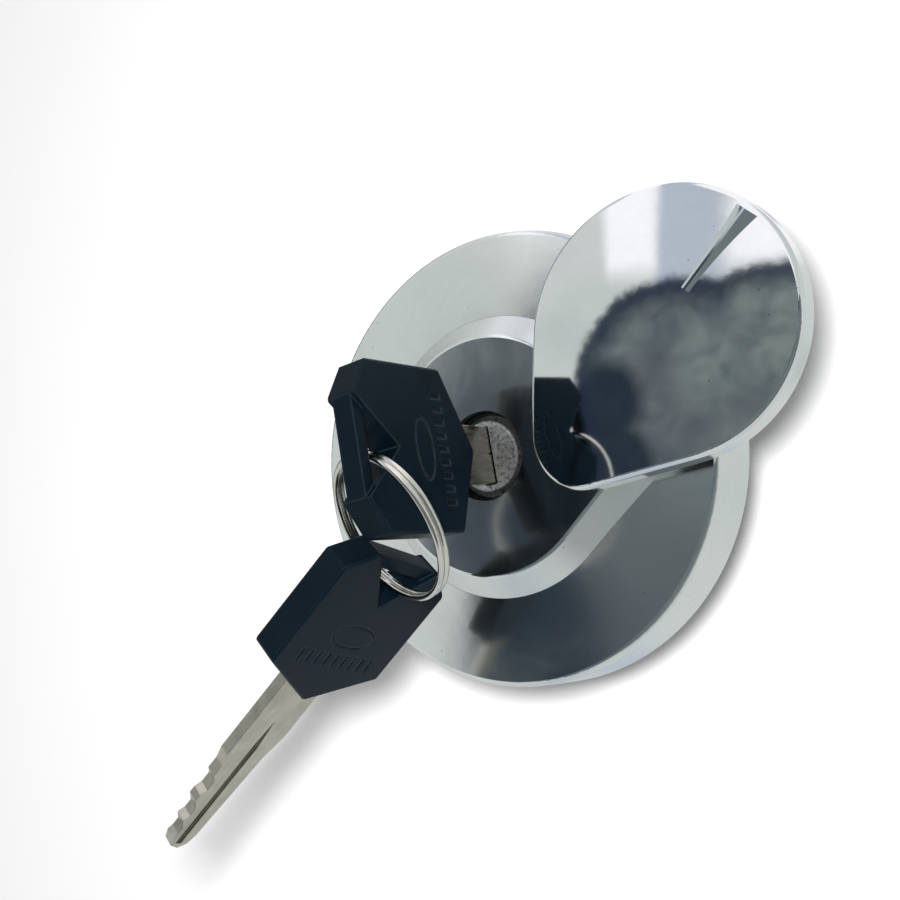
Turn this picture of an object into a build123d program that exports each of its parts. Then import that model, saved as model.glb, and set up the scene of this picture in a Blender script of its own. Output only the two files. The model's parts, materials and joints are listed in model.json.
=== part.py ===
"""Locking fuel tank cap with a swinging keyhole cover, its lock and latches, and two keys on a split ring.

Units are millimetres. The lock axis is Z. Z = 0 is the sealing plane: the neck gasket's underside, level
with the chrome shell's lower rim. The filler neck comes up from below, round the latch carrier.
"""

import math
import os

from build123d import *

os.makedirs("parts", exist_ok=True)

# ---------------------------------------------------------------- driving dimensions
SHELL_RADIUS = 42.0
SHELL_FLARE = 0.6
SHELL_HEIGHT = 11.2
SHELL_WALL = 1.6
CROWN_HEIGHT = 12.4
CROWN_RADIUS = 26.0
RIM_FILLET = 1.1
SCREW_PAD_RADIUS = 3.0
SHELL_TAP_RADIUS = 1.25
SHELL_TAP_DEPTH = 1.2

BOSS_TOP = 16.0
BOSS_BASE_RADIUS = 26.0
BOSS_BASE_NOSE = 11.1
BOSS_TOP_RADIUS = 21.9
BOSS_TOP_NOSE = 7.0
BOSS_FILLET = 0.9
BOSS_SINK = 0.4
BOSS_WALL_FOOT = 1.4
BOSS_WALL_TOP = 1.2
BOSS_CUT = 4.0
PIVOT = (22.1, 2.5)
PIVOT_REACH = math.hypot(*PIVOT)
KEYHOLE_RADIUS = 8.2

COVER_ANGLE = 50.5
COVER_WIDE = 22.4
COVER_NOSE = 9.0
COVER_CLEARANCE = 0.35
COVER_RIM = 4.0
COVER_CROWN = 2.9
COVER_WALL = 1.5
CROWN_SHIFT = 5.0
COVER_STOCK = 12.0
COVER_FILLET = 1.0
RIB_RIDGE_HALF = 0.2
RIB_INNER = (29.0, -1.3, 1.5, 0.12, 1.1)  # reach from pivot, offset across, half width, ridge and foot drops
RIB_OUTER = (43.4, -1.1, 2.8, 1.35, 3.3)
PIVOT_PAD_RADIUS = 4.4
STUD_RADIUS = 2.0
STUD_SEAT = 2.2
STUD_TAIL = 3.2
CLIP_RADIUS = 4.0
CLIP_THICKNESS = 0.7
CLIP_MOUTH = 1.8
CLIP_GROOVE = 0.8
CLIP_GROOVE_DEPTH = 0.5
CLIP_START = 0.7
WASHER_RADIUS = 4.2
WASHER_LOOSE = 0.15
RUNNING_GAP = 0.05
SLIDING_GAP = 0.1
SMALL_BEVEL = 0.3

SLOT_ANGLE = -78.5
PLUG_FACE = 15.0
PLUG_RADIUS = 6.5
PLUG_FLOOR = -16.4
PLUG_TAIL = -20.2
SLOT_WIDTH = 10.8
SLOT_THICKNESS = 2.6
SLOT_FLOOR = -15.6
HOUSING_RADIUS = 8.0
HOUSING_TOP = 13.6
HOUSING_FLOOR = -16.0
HOUSING_FLANGE_RADIUS = 12.0
HOUSING_FLANGE = 1.6
HOUSING_BEVEL = 0.6
O_RING_RADIUS = 9.3
O_RING_SECTION = 1.7
O_RING_ROOM = 10.2
WAFER_TOP = 6.0
WAFER_PITCH = 2.6
WAFER_COUNT = 7
WAFER_THICKNESS = 0.8
WAFER_LENGTH = 11.7
WAFER_DEPTH = 4.1
WAFER_LOOSE = 0.2
CIRCLIP_RADIUS = 7.4
CIRCLIP_THICKNESS = 0.6
CIRCLIP_MOUTH = 3.0
CIRCLIP_GROOVE = 0.7

FLANGE_RADIUS = 37.0
FLANGE_BOTTOM = 6.6
FLANGE_TOP = 9.2
SPIGOT_RADIUS = 17.0
SPIGOT_FLOOR = -16.2
SHELL_SCREW_CIRCLE = 32.5
SHELL_SCREW_COUNT = 3
SHELL_SCREW_CLEAR = 1.65
SHELL_SCREW_SHANK = 1.55
SHELL_SCREW_TIP = 1.2
SHELL_SCREW_LENGTH = 3.7
SHELL_HEAD_RADIUS = 2.7
SHELL_HEAD = 1.6
DRIVE_WIDTH = 0.7
DRIVE_LENGTH = 3.0
DRIVE_DEPTH = 0.8
VENT_OFFSET = 12.8
VENT_BORE = 2.2
VENT_SEAT = -4.0
VENT_HOLE = 0.9
VENT_BALL_RADIUS = 1.9
VENT_BALL_HEIGHT = -2.3
VENT_PLUG_RADIUS = 2.15
VENT_PLUG_HOLE = 0.7
VENT_PLUG_FLOOR = 6.4
VENT_PLUG_HEIGHT = 2.4
VENT_SPRING = (1.5, 1.3, 6.7, 0.4)  # radius, pitch, height and wire, as for every spring
VENT_SPRING_FOOT = -0.65

CARRIER_RADIUS = 19.2
CARRIER_TOP = 0.0
CARRIER_FLOOR = -24.1
CAM_ROOM_TOP = -16.2
CAM_ROOM_RADIUS = 11.5
CAM_RADIUS = 11.2
TONGUE_TOP = -20.5
TONGUE_THICKNESS = 3.5
TONGUE_WIDTH = 12.0
TONGUE_REACH = 23.0
TONGUE_INNER = 6.5
TONGUE_TRAVEL = 4.0
CAM_THICKNESS = 2.4
CAM_TOP = -17.7
CAM_PIN_RADIUS = 1.0
CAM_PIN_START = 9.6
CAM_PIN_LENGTH = 2.6
CAM_TRACK_POINTS = 7
CAM_OVERRUN = 0.04
TONGUE_BEVEL = 2.4
SPRING_POCKET_RADIUS = 1.5
SPRING_POCKET_LENGTH = 5.0
SPRING_POCKET_REACH = 2.3
LATCH_SPRING_RADIUS = 1.1
LATCH_SPRING_PITCH = 1.75
LATCH_SPRING_WIRE = 0.5
TAIL_RADIUS = 3.6
TAIL_FLATS = 5.2
PLUG_SWEEP = 90.0
LATCH_COVER_FLOOR = -26.0
LATCH_COVER_BEVEL = 0.6
CARRIER_SCREW_CIRCLE = 14.6
CARRIER_SCREW_COUNT = 4
CARRIER_SCREW_START = 45
CARRIER_SCREW_CLEAR = 1.5
CARRIER_SCREW_TAP = 1.25
CARRIER_SCREW_TAP_DEPTH = 7.0
CARRIER_SCREW_SHANK = 1.2
CARRIER_SCREW_LENGTH = 15.5
CARRIER_HEAD_RADIUS = 2.5
CARRIER_HEAD = 1.5

SEAL_INNER = 17.3
SEAL_OUTER = 31.0
SEAL_TOP = 3.4
GASKET_INNER = 20.6
GASKET_OUTER = 30.5
GASKET_TOP = 2.4
GASKET_FLOOR = 0.0
GASKET_FILLET = 0.5
SEAL_COLLAR = 19.5
SEAL_SPRING = (23.0, 1.05, 2.1, 0.9)
SEAL_SPRING_FOOT = 3.95

HEAD_HALF_WIDTH = 14.25
HEAD_TIP = 7.0
HEAD_SHOULDER = 13.8
HEAD_UPPER = 33.5
HEAD_END = 37.5
HEAD_END_HALF = 8.65
HEAD_THICKNESS = 5.8
HEAD_CORNER = 0.8
HEAD_EDGE = 0.35
HOLE_APEX = 28.0
HOLE_HALF = 8.4
BAR_INNER = 35.0
BAR_THICKNESS = 3.8
BAR_INSET = 0.2
BAR_OVERLAP = 0.5
OVAL_HEIGHT = 21.4
OVAL_HALF = 5.5
OVAL_HALF_HEIGHT = 2.5
OVAL_LINE = 0.5
GRIP_HEIGHT = 16.2
GRIP_PITCH = 2.3
GRIP_COUNT = 9
GRIP_WIDTH = 1.0
GRIP_LENGTH = 2.8
GRIP_DEPTH = 0.3
BLADE_THICKNESS = 2.2
BLADE_WIDE = 5.15
BLADE_NARROW = 4.0
BLADE_TIP = -30.6
BLADE_ROOT = 12.0
BLADE_OUTLINE = (
    (-BLADE_WIDE, BLADE_ROOT),
    (-BLADE_WIDE, -8.0),
    (-4.3, -10.5),
    (-4.3, -13.0),
    (-3.2, -14.2),
    (-3.2, -16.4),
    (-4.0, -17.6),
    (-4.0, -19.0),
    (-2.4, -20.8),
    (-2.4, -22.6),
    (-3.2, -23.8),
    (-1.9, -25.4),
    (-1.9, -27.0),
    (-2.3, -28.0),
    (-1.4, BLADE_TIP + 0.6),
    (0.6, BLADE_TIP),
    (2.2, BLADE_TIP + 1.0),
    (2.9, -27.5),
    (BLADE_NARROW, -8.0),
    (BLADE_WIDE, -3.0),
    (BLADE_WIDE, BLADE_ROOT),
)
GROOVE_OUTLINE = ((-0.2, 0.5), (0.7, -6.0), (0.7, -29.5), (-0.7, -29.5), (-0.7, -5.0))
GROOVE_DEPTH = 0.55

RING_CENTRE = (-0.09, -12.25, 43.28)
RING_NORMAL = (0.2755, 0.4414, -0.854)
RING_MEAN_RADIUS = 12.8
RING_WIRE = 1.1
RING_TURN_OFFSET = 0.528

KEY_2_ORIGIN = (-24.9, -45.89, 45.04)
KEY_2_ACROSS = (-0.0478, -0.2258, -0.973)
KEY_2_AXIS = (0.6093, 0.7653, -0.2075)

STANDING = (Align.CENTER, Align.CENTER, Align.MIN)
HANGING = (Align.CENTER, Align.CENTER, Align.MAX)


# ---------------------------------------------------------------- shared outlines
def teardrop(wide_radius, nose_radius, wide_centre, nose_centre):
    """Adds to the open sketch the outline of a belt round two circles."""
    with Locations(wide_centre):
        Circle(wide_radius)
    with Locations(nose_centre):
        Circle(nose_radius)
    make_hull()


def coil(radius, pitch, height, wire, bottom_plane):
    """A coil spring: a round wire along a helix that stands on a plane."""
    with BuildPart() as spring:
        with BuildLine() as path:
            Helix(pitch=pitch, height=height, radius=radius)
        with BuildSketch(Plane(origin=path.line @ 0, z_dir=path.line % 0)):
            Circle(wire / 2)
        sweep(path=path.line, is_frenet=True)
    return bottom_plane.location * spring.part


def write(name, label):
    """Labels a finished piece and writes it under that name."""
    name.label = label
    export_step(name, f"parts/{label}.step")


# ---------------------------------------------------------------- chrome shell
def shell_profile(inset):
    """Half section of the disc and its skirt, drawn on XZ, moved inwards by inset."""
    rim = SHELL_RADIUS - inset
    foot = SHELL_RADIUS + SHELL_FLARE - inset
    crown = CROWN_HEIGHT - inset
    edge = SHELL_HEIGHT - inset
    with BuildSketch(Plane.XZ) as profile:
        with BuildLine():
            Polyline((0, 0), (foot, 0), (rim, edge), (CROWN_RADIUS, crown), (0, crown), (0, 0))
        make_face()
    return profile.sketch


with BuildPart() as outer_shell:
    revolve(shell_profile(0), axis=Axis.Z)
    rim_edges = outer_shell.edges().filter_by(GeomType.CIRCLE)
    fillet(rim_edges.group_by(Axis.Z)[1], RIM_FILLET)
    with BuildSketch(Plane.XY.offset(CROWN_HEIGHT - BOSS_SINK)):
        teardrop(BOSS_BASE_RADIUS + BOSS_SINK, BOSS_BASE_NOSE + BOSS_SINK, (0, 0), PIVOT)
    with BuildSketch(Plane.XY.offset(BOSS_TOP)):
        teardrop(BOSS_TOP_RADIUS, BOSS_TOP_NOSE, (0, 0), PIVOT)
    loft()
    boss_rim = outer_shell.faces().sort_by(Axis.Z)[-1]
    fillet(boss_rim.edges(), BOSS_FILLET)
    revolve(shell_profile(SHELL_WALL), axis=Axis.Z, mode=Mode.SUBTRACT)
    with BuildSketch(Plane.XY.offset(CROWN_HEIGHT - SHELL_WALL - BOSS_SINK)):
        teardrop(BOSS_BASE_RADIUS - BOSS_WALL_FOOT, BOSS_BASE_NOSE - BOSS_WALL_FOOT, (0, 0), PIVOT)
    with BuildSketch(Plane.XY.offset(BOSS_TOP - SHELL_WALL)):
        teardrop(BOSS_TOP_RADIUS - BOSS_WALL_TOP, BOSS_TOP_NOSE - BOSS_WALL_TOP, (0, 0), PIVOT)
    loft(mode=Mode.SUBTRACT)
    with BuildSketch(Plane.XY.offset(FLANGE_TOP)):
        with PolarLocations(SHELL_SCREW_CIRCLE, SHELL_SCREW_COUNT, start_angle=90):
            Circle(SCREW_PAD_RADIUS)
    extrude(amount=CROWN_HEIGHT - FLANGE_TOP - SHELL_WALL / 2)
    with BuildSketch(Plane.XY.offset(FLANGE_TOP)):
        with PolarLocations(SHELL_SCREW_CIRCLE, SHELL_SCREW_COUNT, start_angle=90):
            Circle(SHELL_TAP_RADIUS)
    extrude(amount=SHELL_TAP_DEPTH, mode=Mode.SUBTRACT)
    with BuildSketch(Plane.XY.offset(BOSS_TOP)):
        Circle(KEYHOLE_RADIUS)
    extrude(amount=-BOSS_CUT, mode=Mode.SUBTRACT)
    with BuildSketch(Plane.XY.offset(BOSS_TOP)):
        with Locations(PIVOT):
            Circle(STUD_RADIUS + RUNNING_GAP)
    extrude(amount=-BOSS_CUT, mode=Mode.SUBTRACT)

# ---------------------------------------------------------------- keyhole cover and its pivot
cover_bottom = BOSS_TOP + COVER_CLEARANCE
cover_rim_top = cover_bottom + COVER_RIM
cover_top = cover_rim_top + COVER_CROWN
crown_sphere = ((COVER_WIDE + CROWN_SHIFT) ** 2 + COVER_CROWN**2) / (2 * COVER_CROWN)
cover_plane = Plane(
    origin=(*PIVOT, 0),
    x_dir=(math.cos(math.radians(COVER_ANGLE)), math.sin(math.radians(COVER_ANGLE)), 0),
    z_dir=(0, 0, 1),
)
crown_centre = cover_plane.from_local_coords((PIVOT_REACH - CROWN_SHIFT, 0, cover_top - crown_sphere))
inner_crown = crown_sphere - COVER_WALL

with BuildPart() as cover_hollow:
    with BuildSketch(cover_plane.offset(cover_bottom)):
        teardrop(COVER_WIDE - COVER_WALL, COVER_NOSE - COVER_WALL, (PIVOT_REACH, 0), (0, 0))
    extrude(amount=COVER_STOCK)
    with Locations(crown_centre):
        Sphere(inner_crown, mode=Mode.INTERSECT)
    with BuildSketch(cover_plane.offset(cover_bottom)):
        Circle(PIVOT_PAD_RADIUS)
    extrude(amount=COVER_STOCK, mode=Mode.SUBTRACT)

with BuildPart() as finger_rib:
    for reach, across, half_width, ridge, foot in (RIB_INNER, RIB_OUTER):
        rib_plane = Plane(
            origin=cover_plane.from_local_coords((reach, across, 0)),
            x_dir=cover_plane.y_dir,
            z_dir=cover_plane.x_dir,
        )
        with BuildSketch(rib_plane):
            with BuildLine():
                Polyline(
                    (-half_width, cover_top - foot),
                    (half_width, cover_top - foot),
                    (RIB_RIDGE_HALF, cover_top - ridge),
                    (-RIB_RIDGE_HALF, cover_top - ridge),
                    close=True,
                )
            make_face()
    loft()

with BuildPart() as keyhole_cover:
    with BuildSketch(cover_plane.offset(cover_bottom)):
        teardrop(COVER_WIDE, COVER_NOSE, (PIVOT_REACH, 0), (0, 0))
    extrude(amount=COVER_STOCK)
    with Locations(crown_centre):
        Sphere(crown_sphere, mode=Mode.INTERSECT)
    top_face = keyhole_cover.faces().filter_by(GeomType.SPHERE)[0]
    fillet(top_face.outer_wire().edges(), COVER_FILLET)
    add(finger_rib.part)
    add(cover_hollow.part, mode=Mode.SUBTRACT)
    with BuildSketch(cover_plane.offset(cover_bottom)):
        Circle(STUD_RADIUS)
    extrude(amount=STUD_SEAT, mode=Mode.SUBTRACT)

with BuildPart() as cover_pivot_stud:
    stud_foot = BOSS_TOP - SHELL_WALL - STUD_TAIL
    with BuildSketch(cover_plane.offset(stud_foot)):
        Circle(STUD_RADIUS)
    extrude(amount=cover_bottom + STUD_SEAT - stud_foot)
    with BuildSketch(cover_plane.offset(stud_foot + CLIP_START)):
        Circle(STUD_RADIUS)
        Circle(STUD_RADIUS - CLIP_GROOVE_DEPTH, mode=Mode.SUBTRACT)
    extrude(amount=CLIP_GROOVE, mode=Mode.SUBTRACT)
    chamfer(cover_pivot_stud.edges().sort_by(Axis.Z)[0], SMALL_BEVEL)

with BuildPart() as cover_clip:
    with BuildSketch(cover_plane.offset(stud_foot + CLIP_START + RUNNING_GAP)):
        Circle(CLIP_RADIUS)
        Circle(STUD_RADIUS - CLIP_GROOVE_DEPTH + RUNNING_GAP, mode=Mode.SUBTRACT)
        with Locations((0.6 * CLIP_RADIUS, 0)):
            Rectangle(1.2 * CLIP_RADIUS, CLIP_MOUTH, mode=Mode.SUBTRACT)
    extrude(amount=CLIP_THICKNESS)

with BuildPart() as cover_spring_washer:
    washer_foot = stud_foot + CLIP_START + CLIP_GROOVE + RUNNING_GAP
    with BuildSketch(Plane.XY.offset(washer_foot)):
        with Locations(PIVOT):
            Circle(WASHER_RADIUS)
            Circle(STUD_RADIUS + WASHER_LOOSE, mode=Mode.SUBTRACT)
    extrude(amount=BOSS_TOP - SHELL_WALL - washer_foot - RUNNING_GAP)

# ---------------------------------------------------------------- lock cylinder
slot_plane = Plane(
    origin=(0, 0, 0),
    x_dir=(math.cos(math.radians(SLOT_ANGLE)), math.sin(math.radians(SLOT_ANGLE)), 0),
    z_dir=(0, 0, 1),
)

with BuildPart() as lock_housing:
    with BuildSketch(Plane.XZ):
        with BuildLine():
            Polyline(
                (PLUG_RADIUS + RUNNING_GAP, HOUSING_FLOOR),
                (HOUSING_RADIUS, HOUSING_FLOOR),
                (HOUSING_RADIUS, FLANGE_TOP),
                (HOUSING_FLANGE_RADIUS, FLANGE_TOP),
                (HOUSING_FLANGE_RADIUS, FLANGE_TOP + HOUSING_FLANGE),
                (HOUSING_RADIUS, FLANGE_TOP + HOUSING_FLANGE),
                (HOUSING_RADIUS, HOUSING_TOP - HOUSING_BEVEL),
                (HOUSING_RADIUS - HOUSING_BEVEL, HOUSING_TOP),
                (PLUG_RADIUS + RUNNING_GAP, HOUSING_TOP),
                close=True,
            )
        make_face()
    revolve(axis=Axis.Z)

wafer_heights = [WAFER_TOP - WAFER_PITCH * index for index in range(WAFER_COUNT)]
tail_top = CAM_TOP + SLIDING_GAP
groove_floor = PLUG_FLOOR - CIRCLIP_GROOVE - SLIDING_GAP
with BuildPart() as lock_plug:
    with BuildSketch(Plane.XY.offset(PLUG_FLOOR)):
        Circle(PLUG_RADIUS)
    extrude(amount=PLUG_FACE - PLUG_FLOOR)
    chamfer(lock_plug.edges().sort_by(Axis.Z)[-1], SMALL_BEVEL)
    with BuildSketch(slot_plane.offset(PLUG_TAIL)):
        Circle(TAIL_RADIUS)
        Rectangle(3 * TAIL_RADIUS, TAIL_FLATS, mode=Mode.INTERSECT)
    extrude(amount=tail_top - PLUG_TAIL)
    with BuildSketch(Plane.XY.offset(tail_top)):
        Circle(TAIL_RADIUS)
    extrude(amount=PLUG_FLOOR - tail_top)
    with BuildSketch(Plane.XY.offset(groove_floor)):
        Circle(TAIL_RADIUS + CIRCLIP_THICKNESS)
        Circle(TAIL_RADIUS - CIRCLIP_THICKNESS, mode=Mode.SUBTRACT)
    extrude(amount=CIRCLIP_GROOVE, mode=Mode.SUBTRACT)
    with BuildSketch(slot_plane.offset(SLOT_FLOOR)):
        Rectangle(SLOT_WIDTH, SLOT_THICKNESS)
    extrude(amount=PLUG_FACE - SLOT_FLOOR, mode=Mode.SUBTRACT)
    for height in wafer_heights:
        with BuildSketch(slot_plane.offset(height)):
            Rectangle(WAFER_LENGTH + WAFER_LOOSE, WAFER_DEPTH + WAFER_LOOSE)
        extrude(amount=WAFER_THICKNESS + 2 * RUNNING_GAP, mode=Mode.SUBTRACT)

with BuildPart() as lock_wafers:
    for height in wafer_heights:
        with BuildSketch(slot_plane.offset(height + RUNNING_GAP)):
            Rectangle(WAFER_LENGTH, WAFER_DEPTH)
            Rectangle(SLOT_WIDTH, SLOT_THICKNESS + SLIDING_GAP, mode=Mode.SUBTRACT)
        extrude(amount=WAFER_THICKNESS)

with BuildPart() as housing_o_ring:
    with BuildSketch(Plane.XZ):
        with Locations((O_RING_RADIUS, FLANGE_TOP - O_RING_SECTION / 2)):
            Circle(O_RING_SECTION / 2)
    revolve(axis=Axis.Z)

with BuildPart() as plug_circlip:
    with BuildSketch(Plane.XY.offset(groove_floor + RUNNING_GAP)):
        Circle(CIRCLIP_RADIUS)
        Circle(TAIL_RADIUS - CIRCLIP_THICKNESS + RUNNING_GAP, mode=Mode.SUBTRACT)
        with Locations((0, CIRCLIP_RADIUS / 2)):
            Rectangle(CIRCLIP_MOUTH, CIRCLIP_RADIUS, mode=Mode.SUBTRACT)
    extrude(amount=CIRCLIP_THICKNESS)

# ---------------------------------------------------------------- cap body
with BuildPart() as base_body:
    with BuildSketch(Plane.XY.offset(FLANGE_BOTTOM)):
        Circle(FLANGE_RADIUS)
    extrude(amount=FLANGE_TOP - FLANGE_BOTTOM)
    with BuildSketch(Plane.XY.offset(SPIGOT_FLOOR)):
        Circle(SPIGOT_RADIUS)
    extrude(amount=FLANGE_BOTTOM - SPIGOT_FLOOR)
    with BuildSketch(Plane.XY.offset(SPIGOT_FLOOR)):
        Circle(HOUSING_RADIUS + RUNNING_GAP)
    extrude(amount=FLANGE_TOP - SPIGOT_FLOOR, mode=Mode.SUBTRACT)
    with BuildSketch(Plane.XY.offset(FLANGE_TOP - O_RING_SECTION)):
        Circle(O_RING_ROOM)
    extrude(amount=O_RING_SECTION, mode=Mode.SUBTRACT)
    with BuildSketch(Plane.XY.offset(FLANGE_BOTTOM)):
        with PolarLocations(SHELL_SCREW_CIRCLE, SHELL_SCREW_COUNT, start_angle=90):
            Circle(SHELL_SCREW_CLEAR)
    extrude(amount=FLANGE_TOP - FLANGE_BOTTOM, mode=Mode.SUBTRACT)
    with BuildSketch(Plane.XY.offset(SPIGOT_FLOOR)):
        with PolarLocations(CARRIER_SCREW_CIRCLE, CARRIER_SCREW_COUNT, start_angle=CARRIER_SCREW_START):
            Circle(CARRIER_SCREW_TAP)
    extrude(amount=CARRIER_SCREW_TAP_DEPTH, mode=Mode.SUBTRACT)
    with BuildSketch(Plane.XY.offset(VENT_SEAT)):
        with Locations((0, VENT_OFFSET)):
            Circle(VENT_BORE)
    extrude(amount=FLANGE_TOP - VENT_SEAT, mode=Mode.SUBTRACT)
    with BuildSketch(Plane.XY.offset(SPIGOT_FLOOR)):
        with Locations((0, VENT_OFFSET)):
            Circle(VENT_HOLE)
    extrude(amount=VENT_SEAT - SPIGOT_FLOOR, mode=Mode.SUBTRACT)

with BuildPart() as shell_screws:
    with PolarLocations(SHELL_SCREW_CIRCLE, SHELL_SCREW_COUNT, start_angle=90):
        with Locations((0, 0, FLANGE_BOTTOM)):
            Cylinder(SHELL_HEAD_RADIUS, SHELL_HEAD, align=HANGING)
            Cylinder(SHELL_SCREW_SHANK, FLANGE_TOP - FLANGE_BOTTOM, align=STANDING)
            Cylinder(SHELL_SCREW_TIP, SHELL_SCREW_LENGTH, align=STANDING)
        with Locations((0, 0, FLANGE_BOTTOM - SHELL_HEAD)):
            Box(DRIVE_WIDTH, DRIVE_LENGTH, DRIVE_DEPTH, align=STANDING, mode=Mode.SUBTRACT)
            Box(DRIVE_LENGTH, DRIVE_WIDTH, DRIVE_DEPTH, align=STANDING, mode=Mode.SUBTRACT)

# ---------------------------------------------------------------- vent valve
with BuildPart() as vent_ball:
    with Locations((0, VENT_OFFSET, VENT_BALL_HEIGHT)):
        Sphere(VENT_BALL_RADIUS)

with BuildPart() as vent_retainer:
    with BuildSketch(Plane.XY.offset(VENT_PLUG_FLOOR)):
        with Locations((0, VENT_OFFSET)):
            Circle(VENT_PLUG_RADIUS)
            Circle(VENT_PLUG_HOLE, mode=Mode.SUBTRACT)
    extrude(amount=VENT_PLUG_HEIGHT)

vent_plane = Plane(origin=(0, VENT_OFFSET, VENT_SPRING_FOOT))
write(coil(*VENT_SPRING, vent_plane), "vent_spring")

# ---------------------------------------------------------------- latch carrier, cam and tongues
with BuildPart() as latch_carrier:
    with BuildSketch(Plane.XY.offset(CARRIER_FLOOR)):
        Circle(CARRIER_RADIUS)
    extrude(amount=CARRIER_TOP - CARRIER_FLOOR)
    with BuildSketch(Plane.XY.offset(CAM_ROOM_TOP)):
        Circle(SPIGOT_RADIUS + SLIDING_GAP)
    extrude(amount=CARRIER_TOP - CAM_ROOM_TOP, mode=Mode.SUBTRACT)
    with BuildSketch(Plane.XY.offset(TONGUE_TOP + SLIDING_GAP)):
        Circle(CAM_ROOM_RADIUS)
    extrude(amount=CAM_ROOM_TOP - TONGUE_TOP, mode=Mode.SUBTRACT)
    with BuildSketch(Plane.XY.offset(CARRIER_FLOOR)):
        Rectangle(3 * CARRIER_RADIUS, TONGUE_WIDTH + 2 * SLIDING_GAP)
    extrude(amount=TONGUE_TOP + SLIDING_GAP - CARRIER_FLOOR, mode=Mode.SUBTRACT)
    with BuildSketch(Plane.XY.offset(CARRIER_FLOOR)):
        with PolarLocations(CARRIER_SCREW_CIRCLE, CARRIER_SCREW_COUNT, start_angle=CARRIER_SCREW_START):
            Circle(CARRIER_SCREW_CLEAR)
    extrude(amount=CAM_ROOM_TOP - CARRIER_FLOOR, mode=Mode.SUBTRACT)
    with BuildSketch(Plane.XY.offset(CARRIER_FLOOR)):
        with Locations((0, VENT_OFFSET)):
            Circle(VENT_HOLE)
    extrude(amount=CAM_ROOM_TOP - CARRIER_FLOOR, mode=Mode.SUBTRACT)

cam_rate = TONGUE_TRAVEL / math.radians(PLUG_SWEEP)
track_step = (math.radians(PLUG_SWEEP) + 2 * CAM_OVERRUN) / (CAM_TRACK_POINTS - 1)
track_turns = [index * track_step - CAM_OVERRUN for index in range(CAM_TRACK_POINTS)]


def spiral_point(turn, start):
    """A point of the cam's spiral, which comes inwards at a constant rate as the angle grows."""
    radius = CAM_PIN_START - cam_rate * turn
    return (radius * math.cos(start + turn), radius * math.sin(start + turn))


with BuildPart() as latch_cam:
    with BuildSketch(Plane.XY.offset(CAM_TOP - CAM_THICKNESS)):
        Circle(CAM_RADIUS)
    extrude(amount=CAM_THICKNESS)
    with BuildSketch(slot_plane.offset(CAM_TOP - CAM_THICKNESS)):
        Circle(TAIL_RADIUS)
        Rectangle(3 * TAIL_RADIUS, TAIL_FLATS, mode=Mode.INTERSECT)
    extrude(amount=CAM_THICKNESS, mode=Mode.SUBTRACT)
    for start in (0, math.pi):
        with BuildSketch(Plane.XY.offset(CAM_TOP - CAM_THICKNESS)):
            with BuildLine() as cam_track:
                Spline([spiral_point(turn, start) for turn in track_turns])
            trace(cam_track.line, line_width=2 * CAM_PIN_RADIUS + 2 * SLIDING_GAP)
            with Locations(cam_track.line @ 0, cam_track.line @ 1):
                Circle(CAM_PIN_RADIUS + SLIDING_GAP)
        extrude(amount=CAM_THICKNESS, mode=Mode.SUBTRACT)


def latch_tongue(side):
    """A bevelled bolt that slides along X, with the pin that the cam's spiral moves."""
    with BuildPart() as tongue:
        with BuildSketch(Plane.XY.offset(TONGUE_TOP - TONGUE_THICKNESS)):
            with Locations((side * (TONGUE_INNER + TONGUE_REACH) / 2, 0)):
                Rectangle(TONGUE_REACH - TONGUE_INNER, TONGUE_WIDTH)
        extrude(amount=TONGUE_THICKNESS)
        outer_edges = tongue.edges().filter_by(Axis.Y).sort_by(Axis.X)
        nose_edges = outer_edges[-2:] if side > 0 else outer_edges[:2]
        chamfer(nose_edges.sort_by(Axis.Z)[0], TONGUE_BEVEL)
        with BuildSketch(Plane.XY.offset(TONGUE_TOP)):
            with Locations((side * CAM_PIN_START, 0)):
                Circle(CAM_PIN_RADIUS)
        extrude(amount=CAM_PIN_LENGTH)
        with Locations((side * TONGUE_INNER, 0, TONGUE_TOP - TONGUE_THICKNESS / 2)):
            Cylinder(
                SPRING_POCKET_RADIUS, SPRING_POCKET_LENGTH, rotation=(0, 90, 0), mode=Mode.SUBTRACT
            )
    return tongue.part


with BuildPart() as latch_cover:
    with BuildSketch(Plane.XY.offset(LATCH_COVER_FLOOR)):
        Circle(CARRIER_RADIUS)
        with PolarLocations(CARRIER_SCREW_CIRCLE, CARRIER_SCREW_COUNT, start_angle=CARRIER_SCREW_START):
            Circle(CARRIER_SCREW_CLEAR, mode=Mode.SUBTRACT)
        with Locations((0, VENT_OFFSET)):
            Circle(VENT_HOLE, mode=Mode.SUBTRACT)
    extrude(amount=CARRIER_FLOOR - LATCH_COVER_FLOOR)
    chamfer(latch_cover.faces().sort_by(Axis.Z)[0].outer_wire().edges(), LATCH_COVER_BEVEL)

with BuildPart() as carrier_screws:
    with PolarLocations(CARRIER_SCREW_CIRCLE, CARRIER_SCREW_COUNT, start_angle=CARRIER_SCREW_START):
        with Locations((0, 0, LATCH_COVER_FLOOR)):
            Cylinder(CARRIER_HEAD_RADIUS, CARRIER_HEAD, align=HANGING)
            Cylinder(CARRIER_SCREW_SHANK, CARRIER_SCREW_LENGTH, align=STANDING)
        with Locations((0, 0, LATCH_COVER_FLOOR - CARRIER_HEAD)):
            Box(DRIVE_WIDTH, DRIVE_LENGTH, DRIVE_DEPTH, align=STANDING, mode=Mode.SUBTRACT)
            Box(DRIVE_LENGTH, DRIVE_WIDTH, DRIVE_DEPTH, align=STANDING, mode=Mode.SUBTRACT)

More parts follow.
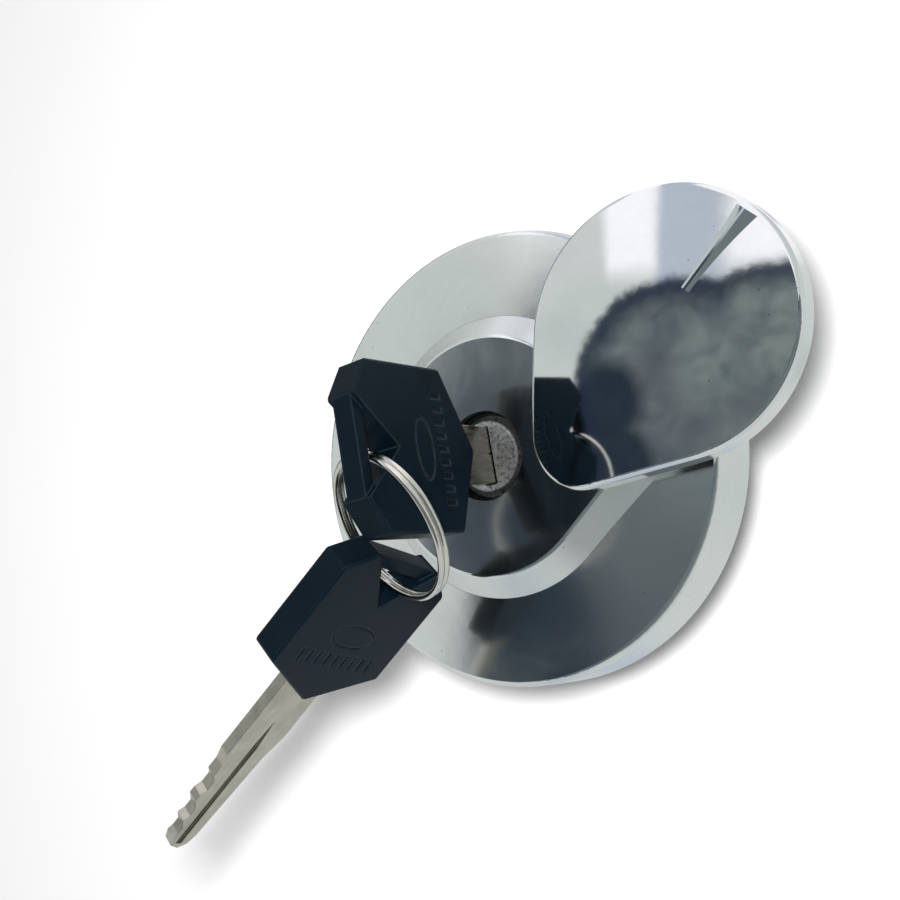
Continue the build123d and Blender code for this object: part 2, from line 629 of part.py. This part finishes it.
spring_reach = TONGUE_INNER + SPRING_POCKET_REACH
latch_spring_plane = Plane(
    origin=(-spring_reach, 0, TONGUE_TOP - TONGUE_THICKNESS / 2), x_dir=(0, 1, 0), z_dir=(1, 0, 0)
)
write(coil(LATCH_SPRING_RADIUS, LATCH_SPRING_PITCH, 2 * spring_reach, LATCH_SPRING_WIRE, latch_spring_plane),
      "latch_spring")

# ---------------------------------------------------------------- sprung neck seal
with BuildPart() as seal_plate:
    with BuildSketch(Plane.XY.offset(GASKET_TOP)):
        Circle(SEAL_OUTER)
        Circle(SEAL_INNER, mode=Mode.SUBTRACT)
    extrude(amount=SEAL_TOP - GASKET_TOP)
    with BuildSketch(Plane.XY.offset(CARRIER_TOP + SLIDING_GAP)):
        Circle(SEAL_COLLAR)
        Circle(SEAL_INNER, mode=Mode.SUBTRACT)
    extrude(amount=GASKET_TOP - CARRIER_TOP - SLIDING_GAP)
    fillet(seal_plate.edges().group_by(Axis.Z)[-1], SMALL_BEVEL)

with BuildPart() as neck_gasket:
    with BuildSketch(Plane.XY.offset(GASKET_FLOOR)):
        Circle(GASKET_OUTER)
        Circle(GASKET_INNER, mode=Mode.SUBTRACT)
    extrude(amount=GASKET_TOP - GASKET_FLOOR)
    fillet(neck_gasket.edges().group_by(Axis.Z)[0], GASKET_FILLET)

seal_spring_plane = Plane(origin=(0, 0, SEAL_SPRING_FOOT))
write(coil(*SEAL_SPRING, seal_spring_plane), "seal_spring")


# ---------------------------------------------------------------- keys
def key_head():
    """The moulded grip, drawn in the XZ plane with the blade pointing down."""
    with BuildPart() as head:
        with BuildSketch(Plane.XZ):
            with BuildLine():
                Polyline(
                    (0, HEAD_TIP),
                    (HEAD_HALF_WIDTH, HEAD_SHOULDER),
                    (HEAD_HALF_WIDTH, HEAD_UPPER),
                    (HEAD_END_HALF, HEAD_END),
                    (-HEAD_END_HALF, HEAD_END),
                    (-HEAD_HALF_WIDTH, HEAD_UPPER),
                    (-HEAD_HALF_WIDTH, HEAD_SHOULDER),
                    close=True,
                )
            make_face()
        extrude(amount=HEAD_THICKNESS / 2, both=True)
        fillet(head.edges().filter_by(Axis.Y), HEAD_CORNER)
        chamfer(head.faces().filter_by(Axis.Y).edges(), HEAD_EDGE)
        with BuildSketch(Plane.XZ):
            with BuildLine():
                Polyline((0, HOLE_APEX), (HOLE_HALF, HEAD_END), (-HOLE_HALF, HEAD_END), close=True)
            make_face()
        extrude(amount=HEAD_THICKNESS, both=True, mode=Mode.SUBTRACT)
        with BuildSketch(Plane.XZ):
            with Locations((0, (BAR_INNER + HEAD_END - BAR_INSET) / 2)):
                Rectangle(2 * (HOLE_HALF + BAR_OVERLAP), HEAD_END - BAR_INSET - BAR_INNER)
        extrude(amount=BAR_THICKNESS / 2, both=True)
        with BuildSketch(Plane.XZ):
            with Locations((0, BLADE_ROOT)):
                Rectangle(2 * BLADE_WIDE, 2 * (BLADE_ROOT - HEAD_TIP), align=(Align.CENTER, Align.MAX))
        extrude(amount=BLADE_THICKNESS / 2, both=True, mode=Mode.SUBTRACT)
        for face_side in (-1, 1):
            with BuildSketch(Plane.XZ.offset(face_side * HEAD_THICKNESS / 2)):
                with Locations((0, OVAL_HEIGHT)):
                    Ellipse(OVAL_HALF, OVAL_HALF_HEIGHT)
                    Ellipse(OVAL_HALF - OVAL_LINE, OVAL_HALF_HEIGHT - OVAL_LINE, mode=Mode.SUBTRACT)
                with Locations((0, GRIP_HEIGHT)):
                    with GridLocations(GRIP_PITCH, GRIP_LENGTH, GRIP_COUNT, 1):
                        Rectangle(GRIP_WIDTH, GRIP_LENGTH)
            extrude(amount=-face_side * GRIP_DEPTH, mode=Mode.SUBTRACT)
    return head.part


def key_blade():
    """The flat blade with one bitted edge and a groove on each face."""
    with BuildPart() as blade:
        with BuildSketch(Plane.XZ):
            with BuildLine():
                Polyline(BLADE_OUTLINE, close=True)
            make_face()
        extrude(amount=BLADE_THICKNESS / 2, both=True)
        for face_side in (-1, 1):
            with BuildSketch(Plane.XZ.offset(face_side * BLADE_THICKNESS / 2)):
                with BuildLine():
                    Polyline(GROOVE_OUTLINE, close=True)
                make_face()
            extrude(amount=-face_side * GROOVE_DEPTH, mode=Mode.SUBTRACT)
    return blade.part


key_1_plane = Plane(origin=(0, 0, BOSS_TOP), x_dir=slot_plane.x_dir, z_dir=(0, 0, 1))
key_2_plane = Plane(origin=KEY_2_ORIGIN, x_dir=KEY_2_ACROSS, z_dir=KEY_2_AXIS)

for key_name, key_plane in (("key_1", key_1_plane), ("key_2", key_2_plane)):
    write(key_plane.location * key_head(), f"{key_name}_head")
    write(key_plane.location * key_blade(), f"{key_name}_blade")

# ---------------------------------------------------------------- split ring
ring_plane = Plane(origin=RING_CENTRE, z_dir=RING_NORMAL)
with BuildPart() as split_ring:
    for side in (-1, 1):
        turn_plane = ring_plane.offset(side * RING_TURN_OFFSET)
        with BuildSketch(Plane(origin=turn_plane.origin, x_dir=turn_plane.x_dir, z_dir=turn_plane.y_dir)):
            with Locations((RING_MEAN_RADIUS, 0)):
                Circle(RING_WIRE / 2)
        revolve(axis=Axis(turn_plane.origin, turn_plane.z_dir))

# ---------------------------------------------------------------- write every piece
write(latch_tongue(-1), "latch_tongue_left")
write(latch_tongue(1), "latch_tongue_right")
write(outer_shell.part, "outer_shell")
write(keyhole_cover.part, "keyhole_cover")
write(cover_pivot_stud.part, "cover_pivot_stud")
write(cover_clip.part, "cover_clip")
write(cover_spring_washer.part, "cover_spring_washer")
write(lock_housing.part, "lock_housing")
write(lock_plug.part, "lock_plug")
write(lock_wafers.part, "lock_wafers")
write(housing_o_ring.part, "housing_o_ring")
write(plug_circlip.part, "plug_circlip")
write(base_body.part, "base_body")
write(shell_screws.part, "shell_screws")
write(vent_ball.part, "vent_ball")
write(vent_retainer.part, "vent_retainer")
write(latch_carrier.part, "latch_carrier")
write(latch_cam.part, "latch_cam")
write(latch_cover.part, "latch_cover")
write(carrier_screws.part, "carrier_screws")
write(seal_plate.part, "seal_plate")
write(neck_gasket.part, "neck_gasket")
write(split_ring.part, "split_ring")
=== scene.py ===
"""Looks of the locking fuel tank cap: materials, floor, light and camera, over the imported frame."""

import json

import bpy
from mathutils import Matrix, Vector


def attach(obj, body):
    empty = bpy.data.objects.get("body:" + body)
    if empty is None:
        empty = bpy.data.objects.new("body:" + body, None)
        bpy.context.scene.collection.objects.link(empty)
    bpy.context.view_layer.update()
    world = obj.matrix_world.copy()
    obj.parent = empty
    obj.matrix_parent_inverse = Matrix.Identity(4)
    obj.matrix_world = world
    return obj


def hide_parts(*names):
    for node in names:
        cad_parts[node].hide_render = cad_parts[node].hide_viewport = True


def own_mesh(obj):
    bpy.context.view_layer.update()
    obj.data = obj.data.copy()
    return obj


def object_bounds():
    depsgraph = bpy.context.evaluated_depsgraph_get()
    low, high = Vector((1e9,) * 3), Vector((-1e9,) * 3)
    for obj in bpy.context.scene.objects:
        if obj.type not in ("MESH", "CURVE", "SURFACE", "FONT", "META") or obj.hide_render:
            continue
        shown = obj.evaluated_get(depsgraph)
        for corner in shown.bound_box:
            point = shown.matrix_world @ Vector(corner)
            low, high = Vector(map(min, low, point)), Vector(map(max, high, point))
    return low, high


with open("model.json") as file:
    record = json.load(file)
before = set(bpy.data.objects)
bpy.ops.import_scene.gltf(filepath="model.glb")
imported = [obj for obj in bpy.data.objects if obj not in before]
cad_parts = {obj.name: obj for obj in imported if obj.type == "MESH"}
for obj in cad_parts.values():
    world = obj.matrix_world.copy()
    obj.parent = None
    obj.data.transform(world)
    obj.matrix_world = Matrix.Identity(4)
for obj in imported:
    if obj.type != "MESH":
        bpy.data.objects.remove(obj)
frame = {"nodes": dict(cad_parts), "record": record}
cad_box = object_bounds()
nodes = frame["nodes"]
scene = bpy.context.scene

# Lengths are in metres and colours are linear.
MIX_SLOTS = (0, 6, 7)  # the colour mix's factor, A and B among its sockets
MIX_RESULT = 2
BEVEL_SAMPLES = 6


# ---------------------------------------------------------------- node helpers
def rgba(value):
    """A colour with alpha, from three numbers or from one for a grey."""
    if isinstance(value, (int, float)):
        return (value, value, value, 1.0)
    return (*value[:3], 1.0)


def scaled(colour, factor):
    """The colour times factor, at most white."""
    return tuple(min(1.0, part * factor) for part in colour)


class Tree:
    """Short calls that add nodes to an emptied node tree. Textures are placed by where unless told otherwise."""

    def __init__(self, owner, coordinate):
        owner.use_nodes = True
        self.tree = owner.node_tree
        self.tree.nodes.clear()
        self.where = self.add("ShaderNodeTexCoord").outputs[coordinate]

    def add(self, kind, **settings):
        node = self.tree.nodes.new(kind)
        for key, value in settings.items():
            setattr(node, key, value)
        return node

    def link(self, a, b):
        self.tree.links.new(a, b)

    def mapped(self, scale, rotation):
        """Coordinates in which a texture is stretched by scale along turned axes."""
        node = self.add("ShaderNodeMapping", vector_type="TEXTURE")
        node.inputs["Rotation"].default_value = rotation
        node.inputs["Scale"].default_value = scale
        self.link(self.where, node.inputs["Vector"])
        return node.outputs[0]

    def noise(self, size, detail, rough=0.55, distortion=0.0, source=None):
        """Noise with features of about that size."""
        node = self.add("ShaderNodeTexNoise")
        node.inputs["Scale"].default_value = 1.0 / size
        node.inputs["Detail"].default_value = detail
        node.inputs["Roughness"].default_value = rough
        node.inputs["Distortion"].default_value = distortion
        self.link(source or self.where, node.inputs["Vector"])
        return node.outputs["Fac"]

    def voronoi(self, size):
        """Distance from the middle of cells of about that size."""
        node = self.add("ShaderNodeTexVoronoi", feature="F1")
        node.inputs["Scale"].default_value = 1.0 / size
        self.link(self.where, node.inputs["Vector"])
        return node.outputs["Distance"]

    def ramp(self, value, *stops):
        """Goes straight from one (place, grey) stop to the next."""
        node = self.add("ShaderNodeValToRGB")
        elements = node.color_ramp.elements
        while len(elements) > 1:
            elements.remove(elements[-1])
        elements[0].position = stops[0][0]
        elements[0].color = rgba(stops[0][1])
        for place, colour in stops[1:]:
            elements.new(place).color = rgba(colour)
        self.link(value, node.inputs[0])
        return node.outputs[0]

    def fill(self, socket, value):
        """Links an output to the socket; a number or colour becomes the socket's constant."""
        if isinstance(value, bpy.types.NodeSocket):
            self.link(value, socket)
        else:
            socket.default_value = rgba(value) if isinstance(value, tuple) else value

    def maths(self, operation, *values):
        node = self.add("ShaderNodeMath", operation=operation)
        for socket, value in zip(node.inputs, values):
            self.fill(socket, value)
        return node.outputs[0]

    def mix(self, factor, a, b):
        """Colour a where factor is 0 and b where it is 1."""
        node = self.add("ShaderNodeMix", data_type="RGBA", blend_type="MIX")
        for slot, value in zip(MIX_SLOTS, (factor, a, b)):
            self.fill(node.inputs[slot], value)
        return node.outputs[MIX_RESULT]


class Surface(Tree):
    """A new material with one Principled shader."""

    def __init__(self, name):
        self.material = bpy.data.materials.new(name)
        super().__init__(self.material, "Object")
        self.shader = self.add("ShaderNodeBsdfPrincipled")
        self.link(self.shader.outputs[0], self.add("ShaderNodeOutputMaterial").inputs[0])

    def bump(self, height, distance, strength, normal=None):
        node = self.add("ShaderNodeBump")
        node.inputs["Strength"].default_value = strength
        node.inputs["Distance"].default_value = distance
        self.link(height, node.inputs["Height"])
        if normal is not None:
            self.link(normal, node.inputs["Normal"])
        return node.outputs[0]

    def edge(self, radius, low=0.02, high=0.25):
        """1 along edges and 0 on open faces, and the normal rounded over those edges."""
        bevel = self.add("ShaderNodeBevel", samples=BEVEL_SAMPLES)
        bevel.inputs["Radius"].default_value = radius
        geometry = self.add("ShaderNodeNewGeometry")
        dot = self.add("ShaderNodeVectorMath", operation="DOT_PRODUCT")
        self.link(bevel.outputs[0], dot.inputs[0])
        self.link(geometry.outputs["Normal"], dot.inputs[1])
        bent = self.maths("SUBTRACT", 1.0, dot.outputs["Value"])
        node = self.add("ShaderNodeMapRange", interpolation_type="SMOOTHSTEP")
        node.inputs["From Min"].default_value = low
        node.inputs["From Max"].default_value = high
        self.link(bent, node.inputs["Value"])
        return node.outputs[0], bevel.outputs[0]

    def set(self, **values):
        """Fills the shader's sockets by name."""
        for key, value in values.items():
            self.fill(self.shader.inputs[key.replace("_", " ")], value)
        return self.material


# ---------------------------------------------------------------- materials
# A noise is given as size, detail, roughness and distortion, a bump as height, depth and strength, and a ramp's
# stop as place and grey.
STEEPNESS = ((0.0, 0.6), (0.55, 0.75), (0.78, 1.0), (0.93, 0.0))  # against how far the face points up
SCRATCH_TURN = (0, 0, 0.6)
SCRATCH_STRETCH = (1.0, 0.04, 1.0)
SCRATCH_HAZE = 0.03
SMUDGE_TINT = 0.92
DUSTY, PIT = (0.60, 0.61, 0.62), (0.18, 0.19, 0.20)


def chrome(name, tint, haze, steep):
    """Plated metal: slight waviness, fine scratches, smudges, and a duller polish on its steep faces."""
    t = Surface(name)
    smudge = t.noise(0.014, 6, 0.62, 0.8)
    fine = t.noise(0.0011, 4, 0.65)
    hair = t.noise(0.004, 3, 0.7, 2.0, source=t.mapped(SCRATCH_STRETCH, SCRATCH_TURN))
    wave = t.noise(0.010, 2, 0.5)
    colour = t.mix(t.ramp(smudge, (0.3, 0.0), (0.75, 1.0)), tint, scaled(tint, SMUDGE_TINT))
    colour = t.mix(t.maths("MULTIPLY", fine, 0.14), colour, DUSTY)
    colour = t.mix(t.ramp(t.voronoi(0.0035), (0.03, 0.5), (0.06, 0.0)), colour, PIT)
    rough = t.ramp(smudge, (0.25, haze * 0.75), (0.55, haze), (0.85, haze * 1.6))
    rough = t.maths("ADD", rough, t.maths("MULTIPLY", hair, SCRATCH_HAZE))
    up = t.add("ShaderNodeSeparateXYZ")
    t.link(t.add("ShaderNodeNewGeometry").outputs["Normal"], up.inputs[0])
    rough = t.mix(t.ramp(up.outputs["Z"], *STEEPNESS), rough, (steep, steep, steep))
    normal = t.bump(wave, 0.00006, 0.35)
    normal = t.bump(fine, 0.000005, 0.4, normal)
    return t.set(Base_Color=colour, Metallic=1.0, Roughness=rough, Normal=normal)


CAST_GRAIN = 0.0005
CAST_EDGE_HIGHLIGHT = (0.78, 0.78, 0.76)


def cast(name, dark, light):
    """Zinc as cast: granular, lightly tarnished, with a painted highlight along its edges."""
    t = Surface(name)
    cloud = t.noise(CAST_GRAIN * 9, 5, 0.6)
    speck = t.noise(CAST_GRAIN * 1.5, 6, 0.7)
    edge, soft = t.edge(0.0003)
    body = t.mix(t.ramp(cloud, (0.3, 0.0), (0.7, 1.0)), dark, light)
    body = t.mix(t.ramp(speck, (0.48, 0.0), (0.62, 0.85)), body, scaled(dark, 0.3))
    # Painted highlight: the edges are lightened towards a pale grey.
    body = t.mix(t.maths("MULTIPLY", edge, 0.7), body, CAST_EDGE_HIGHLIGHT)
    normal = t.bump(t.voronoi(CAST_GRAIN), 0.00006, 0.7, soft)
    normal = t.bump(speck, 0.00004, 0.5, normal)
    rough = t.ramp(speck, (0.3, 0.34), (0.7, 0.62))
    return t.set(Base_Color=body, Metallic=0.9, Roughness=rough, Normal=normal)


def drawn(name, tint, rotation, stretch, rough_low, rough_high, grime=0.35):
    """Rolled, drawn or milled metal with lines along one direction and blotches of grime."""
    t = Surface(name)
    lines = t.noise(0.0009, 5, 0.65, 0.2, source=t.mapped(stretch, rotation))
    cloud = t.noise(0.006, 4, 0.6, 0.5)
    edge, soft = t.edge(0.00015)
    body = t.mix(t.ramp(lines, (0.3, 0.0), (0.7, 1.0)), scaled(tint, 0.78), tint)
    dirt = t.maths("MULTIPLY", t.ramp(cloud, (0.45, 0.0), (0.75, 1.0)), grime)
    body = t.mix(dirt, body, scaled(tint, 0.4))
    # Painted highlight: the edges are lightened above the tint.
    body = t.mix(t.maths("MULTIPLY", edge, 0.55), body, scaled(tint, 1.35))
    rough = t.ramp(lines, (0.25, rough_low), (0.8, rough_high))
    return t.set(Base_Color=body, Metallic=1.0, Roughness=rough, Normal=t.bump(lines, 0.00002, 0.5, soft))


def plastic(name, tint, edge_highlight_tint, grain, rough_low, rough_high):
    """Moulded plastic: fine spark-eroded grain, finger polish, dust, and a painted highlight that lightens its edges.
    """
    t = Surface(name)
    cloud = t.noise(0.009, 5, 0.6, 0.4)
    edge, soft = t.edge(0.0006, 0.01, 0.2)
    # Painted highlight: the edges are lightened towards the highlight colour, broken up by noise.
    painted_edge_highlight = t.maths("MULTIPLY", edge, t.ramp(t.noise(0.0022, 5, 0.7), (0.3, 0.35), (0.7, 1.0)))
    dust = t.ramp(t.noise(0.0006, 2, 0.5), (0.72, 0.0), (0.8, 0.35))
    body = t.mix(t.ramp(cloud, (0.3, 0.0), (0.75, 1.0)), tint, scaled(tint, 1.5))
    body = t.mix(t.maths("MULTIPLY", painted_edge_highlight, 0.5), body, edge_highlight_tint)
    body = t.mix(dust, body, scaled(tint, 3))
    rough = t.ramp(cloud, (0.3, rough_low), (0.8, rough_high))
    normal = t.bump(t.noise(grain, 3, 0.6), 0.00003, 0.5, soft)
    return t.set(Base_Color=body, Metallic=0.0, Roughness=rough, Normal=normal, Specular_IOR_Level=0.10)


def rubber(name, dark, light):
    """Moulded rubber with a fine matt grain and a light bloom."""
    t = Surface(name)
    fine = t.noise(0.0004, 3, 0.6)
    body = t.mix(t.ramp(t.noise(0.005, 5, 0.65), (0.35, 0.0), (0.75, 1.0)), dark, light)
    rough = t.ramp(fine, (0.3, 0.65), (0.7, 0.85))
    return t.set(Base_Color=body, Roughness=rough, Normal=t.bump(fine, 0.00003, 0.6))


# The second key's blade runs along key_2_axis, and ring_normal stands on the plane that the ring lies in.
key_2_across = Vector((-0.0478, -0.2258, -0.973)).normalized()
key_2_axis = Vector((0.6093, 0.7653, -0.2075)).normalized()
key_2_turn = Matrix((key_2_across, key_2_axis.cross(key_2_across), key_2_axis)).transposed().to_euler()
ring_normal = Vector((0.2755, 0.4414, -0.854)).normalized()
ring_turn = ring_normal.to_track_quat("Z", "Y").to_euler()
UNTURNED = (0, 0, 0)
ALONG_X, ALONG_Z = (30.0, 1.0, 1.0), (1.0, 1.0, 30.0)

RECIPES = {
    # tint, haze, roughness of steep faces
    "shell_chrome": (chrome, (0.86, 0.87, 0.865), 0.125, 0.36),
    "cover_chrome": (chrome, (0.86, 0.87, 0.88), 0.05, 0.10),
    # dark and light colour
    "cast_zinc": (cast, (0.34, 0.345, 0.345), (0.62, 0.63, 0.63)),
    "dark_zinc": (cast, (0.06, 0.062, 0.065), (0.13, 0.132, 0.135)),
    # tint, turn and stretch of the lines, lowest and highest roughness, grime
    "zinc_plate": (drawn, (0.66, 0.66, 0.63), UNTURNED, (6.0, 1.0, 1.0), 0.22, 0.4),
    "spring_steel": (drawn, (0.5, 0.5, 0.51), UNTURNED, (1.0, 1.0, 4.0), 0.2, 0.36),
    "wafer_brass": (drawn, (0.75, 0.58, 0.28), UNTURNED, ALONG_X, 0.25, 0.42),
    "key_1_nickel": (drawn, (0.56, 0.515, 0.45), UNTURNED, ALONG_Z, 0.2, 0.4),
    "key_2_nickel": (drawn, (0.60, 0.56, 0.49), key_2_turn, ALONG_Z, 0.2, 0.4, 0.5),
    "ring_nickel": (drawn, (0.83, 0.8, 0.74), ring_turn, (3.0, 3.0, 1.0), 0.1, 0.22, 0.15),
    # tint, colour of the painted edge highlight, grain, lowest and highest roughness
    "key_plastic": (plastic, (0.0016, 0.0055, 0.0100), (0.045, 0.065, 0.08), 0.00035, 0.28, 0.44),
    "acetal": (plastic, (0.03, 0.03, 0.032), (0.12, 0.12, 0.12), 0.0005, 0.35, 0.5),
    # dark and light colour
    "seal_rubber": (rubber, (0.018, 0.018, 0.019), (0.05, 0.05, 0.05)),
}
materials = {name: recipe(name, *values) for name, (recipe, *values) in RECIPES.items()}
# Nodes whose finish in the photograph differs from that of their slot's other nodes.
FINISHES = {
    "outer_shell": "shell_chrome",
    "keyhole_cover": "cover_chrome",
    "lock_housing": "dark_zinc",
    "key_1_blade": "key_1_nickel",
    "key_2_blade": "key_2_nickel",
}
record_slots = {entry["node"]: entry["material_slot"] for entry in frame["record"]["subparts"]}
for name, node in nodes.items():
    node.data.materials.clear()
    node.data.materials.append(materials[FINISHES.get(name, record_slots[name])])

# ---------------------------------------------------------------- springs
# CAD node, the joint that presses it, how much shorter it gets, its direction, and where it stays put:
# 1 at its far end and 0.5 in its middle, which both tongues close on.
PRESSED_COILS = (
    ("vent_spring", "vent_lift", 0.0012, (0, 0, 1), 1.0),
    ("seal_spring", "seal_press", 0.0014, (0, 0, 1), 1.0),
    ("latch_spring", "plug_turn", 0.0080, (1, 0, 0), 0.5),
)
for name, joint, travel, axis, held in PRESSED_COILS:
    coil = bpy.data.objects.new(name + "_coil", nodes[name].data.copy())
    scene.collection.objects.link(coil)
    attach(coil, "cap")
    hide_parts(name)
    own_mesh(coil)

# ---------------------------------------------------------------- floor
FLOOR_HALF = 3.0
FLOOR_GAP = 0.0006  # between the part's lowest point and the floor
PAPER_TONES = ((0.9, 0.9, 0.9), (0.92, 0.92, 0.92))
floor_z = cad_box[0].z - FLOOR_GAP
floor_mesh = bpy.data.meshes.new("floor")
corners = [(x * FLOOR_HALF, y * FLOOR_HALF, floor_z) for x, y in ((-1, -1), (1, -1), (1, 1), (-1, 1))]
floor_mesh.from_pydata(corners, [], [(0, 1, 2, 3)])
floor = bpy.data.objects.new("floor", floor_mesh)
scene.collection.objects.link(floor)
floor.visible_glossy = False
paper = Surface("floor_paper")
paper.set(Base_Color=paper.mix(paper.noise(0.05, 3), *PAPER_TONES), Roughness=0.9)
floor_mesh.materials.append(paper.material)

# ---------------------------------------------------------------- studio
# The room is seen only as reflections in the chrome. A cap is a round patch of it: the direction of its middle,
# and the cosine of the angle from there to its edge.
DARK_CAPS = (
    ((-0.31, 0.0, 0.95), 0.941),
    ((-0.10, -0.25, 0.963), 0.862),
    ((0.02, 0.0, 1.0), 0.932),
    ((0.50, -0.34, 0.796), 0.80),
    ((-0.914, 0.278, -0.292), 0.90),
)
NAVY_CAPS = (((-0.53, -0.02, 0.848), 0.987), ((-0.52, -0.22, 0.825), 0.984))
NAVY_FADE = 0.016
EDGE_SCALE = 5.0
# Stops across the room, from 0 at its -X side to 1 at its +X side: where the window panes and the cool wall are.
PANES_ACROSS = (
    (0.238, 0.0), (0.25, 1.0), (0.315, 1.0), (0.327, 0.0), (0.41, 0.0), (0.44, 1.0), (0.62, 1.0), (0.7, 0.0),
)
COOL_ACROSS = ((0.31, 0.0), (0.33, 1.0), (0.40, 1.0), (0.45, 0.0))
PANES_FORWARD = ((0.33, 0.0), (0.40, 1.0))
SLATE, SLATE_LIGHT, SLATE_PURPLE = (0.105, 0.135, 0.150), (0.235, 0.275, 0.262), (0.085, 0.088, 0.115)
NAVY, NAVY_EDGE = (0.009, 0.021, 0.038), (0.020, 0.029, 0.055)
WALL, WALL_LIGHT, WALL_COOL = (0.58, 0.635, 0.615), (0.72, 0.75, 0.735), (0.52, 0.58, 0.66)
PANE = (1.12, 1.12, 1.15)
AMBIENT = (0.42, 0.42, 0.42)
BACKDROP = (1.0, 1.0, 1.0)


class Studio(Tree):
    """The world: a pale room with bright window panes and a dark, mottled part above the camera."""

    def __init__(self, world):
        super().__init__(world, "Generated")
        unit = self.add("ShaderNodeVectorMath", operation="NORMALIZE")
        self.link(self.where, unit.inputs[0])
        self.where = unit.outputs[0]
        self.wide = self.noise(0.5, 2)

    def facing(self, direction):
        """Cosine of the angle between where the room is looked at and that direction."""
        dot = self.add("ShaderNodeVectorMath", operation="DOT_PRODUCT")
        self.link(self.where, dot.inputs[0])
        dot.inputs[1].default_value = Vector(direction).normalized()
        return dot.outputs["Value"]

    def depth(self, caps):
        """How far inside the nearest of the caps: 0 on its edge, more inside."""
        depths = [self.maths("SUBTRACT", self.facing(middle), edge) for middle, edge in caps]
        deepest = depths[0]
        for depth in depths[1:]:
            deepest = self.maths("MAXIMUM", deepest, depth)
        return deepest

    def wobble(self, amount, *noise):
        """Noise about 0, to make an edge uneven."""
        return self.maths("MULTIPLY", self.maths("SUBTRACT", self.noise(*noise), 0.5), amount)

    def dark_edge(self):
        """0.5 on the uneven edge of the dark part, more inside."""
        uneven = self.maths("ADD", self.wobble(0.022, 0.022, 4, 0.7), self.wobble(0.02, 0.22, 2))
        return self.maths("MULTIPLY_ADD", self.maths("ADD", self.depth(DARK_CAPS), uneven), EDGE_SCALE, 0.5)

    def dark(self, edge):
        """Mottled slate with two navy patches, and navy along its edge."""
        mottle = self.ramp(self.noise(0.11, 7, 0.66, 0.8), (0.36, 0.0), (0.64, 1.0))
        slate = self.mix(mottle, SLATE, SLATE_LIGHT)
        slate = self.mix(self.ramp(self.wide, (0.46, 0.0), (0.60, 0.55)), slate, SLATE_PURPLE)
        shade = self.maths("DIVIDE", self.depth(NAVY_CAPS), NAVY_FADE)
        slate = self.mix(self.ramp(shade, (0.0, 0.0), (0.5, 0.9)), slate, NAVY)
        return self.mix(self.ramp(edge, (0.50, 1.0), (0.55, 0.85), (0.64, 0.0)), slate, NAVY_EDGE)

    def pale(self):
        """Soft walls, one of them cool, with window panes."""
        axes = self.add("ShaderNodeSeparateXYZ")
        self.link(self.where, axes.inputs[0])
        across = self.maths("MULTIPLY_ADD", axes.outputs["X"], 0.5, 0.5)
        panes = self.maths("MULTIPLY", self.ramp(across, *PANES_ACROSS), self.ramp(axes.outputs["Y"], *PANES_FORWARD))
        pale = self.mix(self.ramp(self.wide, (0.35, 0.0), (0.65, 1.0)), WALL, WALL_LIGHT)
        pale = self.mix(self.ramp(across, *COOL_ACROSS), pale, WALL_COOL)
        return self.mix(panes, pale, PANE)

    def build(self):
        """The room in reflections, an even light on surfaces, and white behind the object."""
        edge = self.dark_edge()
        room = self.mix(self.ramp(edge, (0.47, 0.0), (0.505, 1.0)), self.pale(), self.dark(edge))
        rays = self.add("ShaderNodeLightPath")
        room = self.mix(rays.outputs["Is Diffuse Ray"], room, AMBIENT)
        room = self.mix(rays.outputs["Is Camera Ray"], room, BACKDROP)
        background = self.add("ShaderNodeBackground")
        self.link(room, background.inputs[0])
        self.link(background.outputs[0], self.add("ShaderNodeOutputWorld").inputs[0])


scene.world = bpy.data.worlds.new("studio")
Studio(scene.world).build()

# ---------------------------------------------------------------- lamp
LAMP_WATTS = 46.0
LAMP_RADIUS = 0.014
LAMP_PLACE = (0.1, 0.00337, 0.18626)
lamp = bpy.data.lights.new("front_light", "POINT")
lamp.shadow_soft_size = LAMP_RADIUS
lamp.energy = LAMP_WATTS
# A constant falloff lights the near and far sides alike, as a distant lamp does.
lamp.use_nodes = True
falloff = lamp.node_tree.nodes.new("ShaderNodeLightFalloff")
falloff.inputs["Strength"].default_value = 1.0
emission = lamp.node_tree.nodes["Emission"]
lamp.node_tree.links.new(falloff.outputs["Constant"], emission.inputs["Strength"])
lamp_holder = bpy.data.objects.new("front_light", lamp)
scene.collection.objects.link(lamp_holder)
lamp_holder.location = LAMP_PLACE
lamp_holder.visible_glossy = False

# ---------------------------------------------------------------- camera
camera = bpy.data.cameras.new("camera")
camera.lens = 42.8
camera.sensor_width = 36.0
camera.shift_x, camera.shift_y = 0.0892, -0.0027
camera.clip_start, camera.clip_end = 0.005, 20.0
eye = bpy.data.objects.new("camera", camera)
scene.collection.objects.link(eye)
eye.matrix_world = Matrix((
    (0.76653, 0.03352, 0.64133, 0.10880),
    (0.0, 0.99864, -0.05220, -0.00863),
    (-0.64221, 0.04001, 0.76549, 0.17806),
    (0, 0, 0, 1),
))
scene.camera = eye
scene.view_settings.view_transform = "Standard"
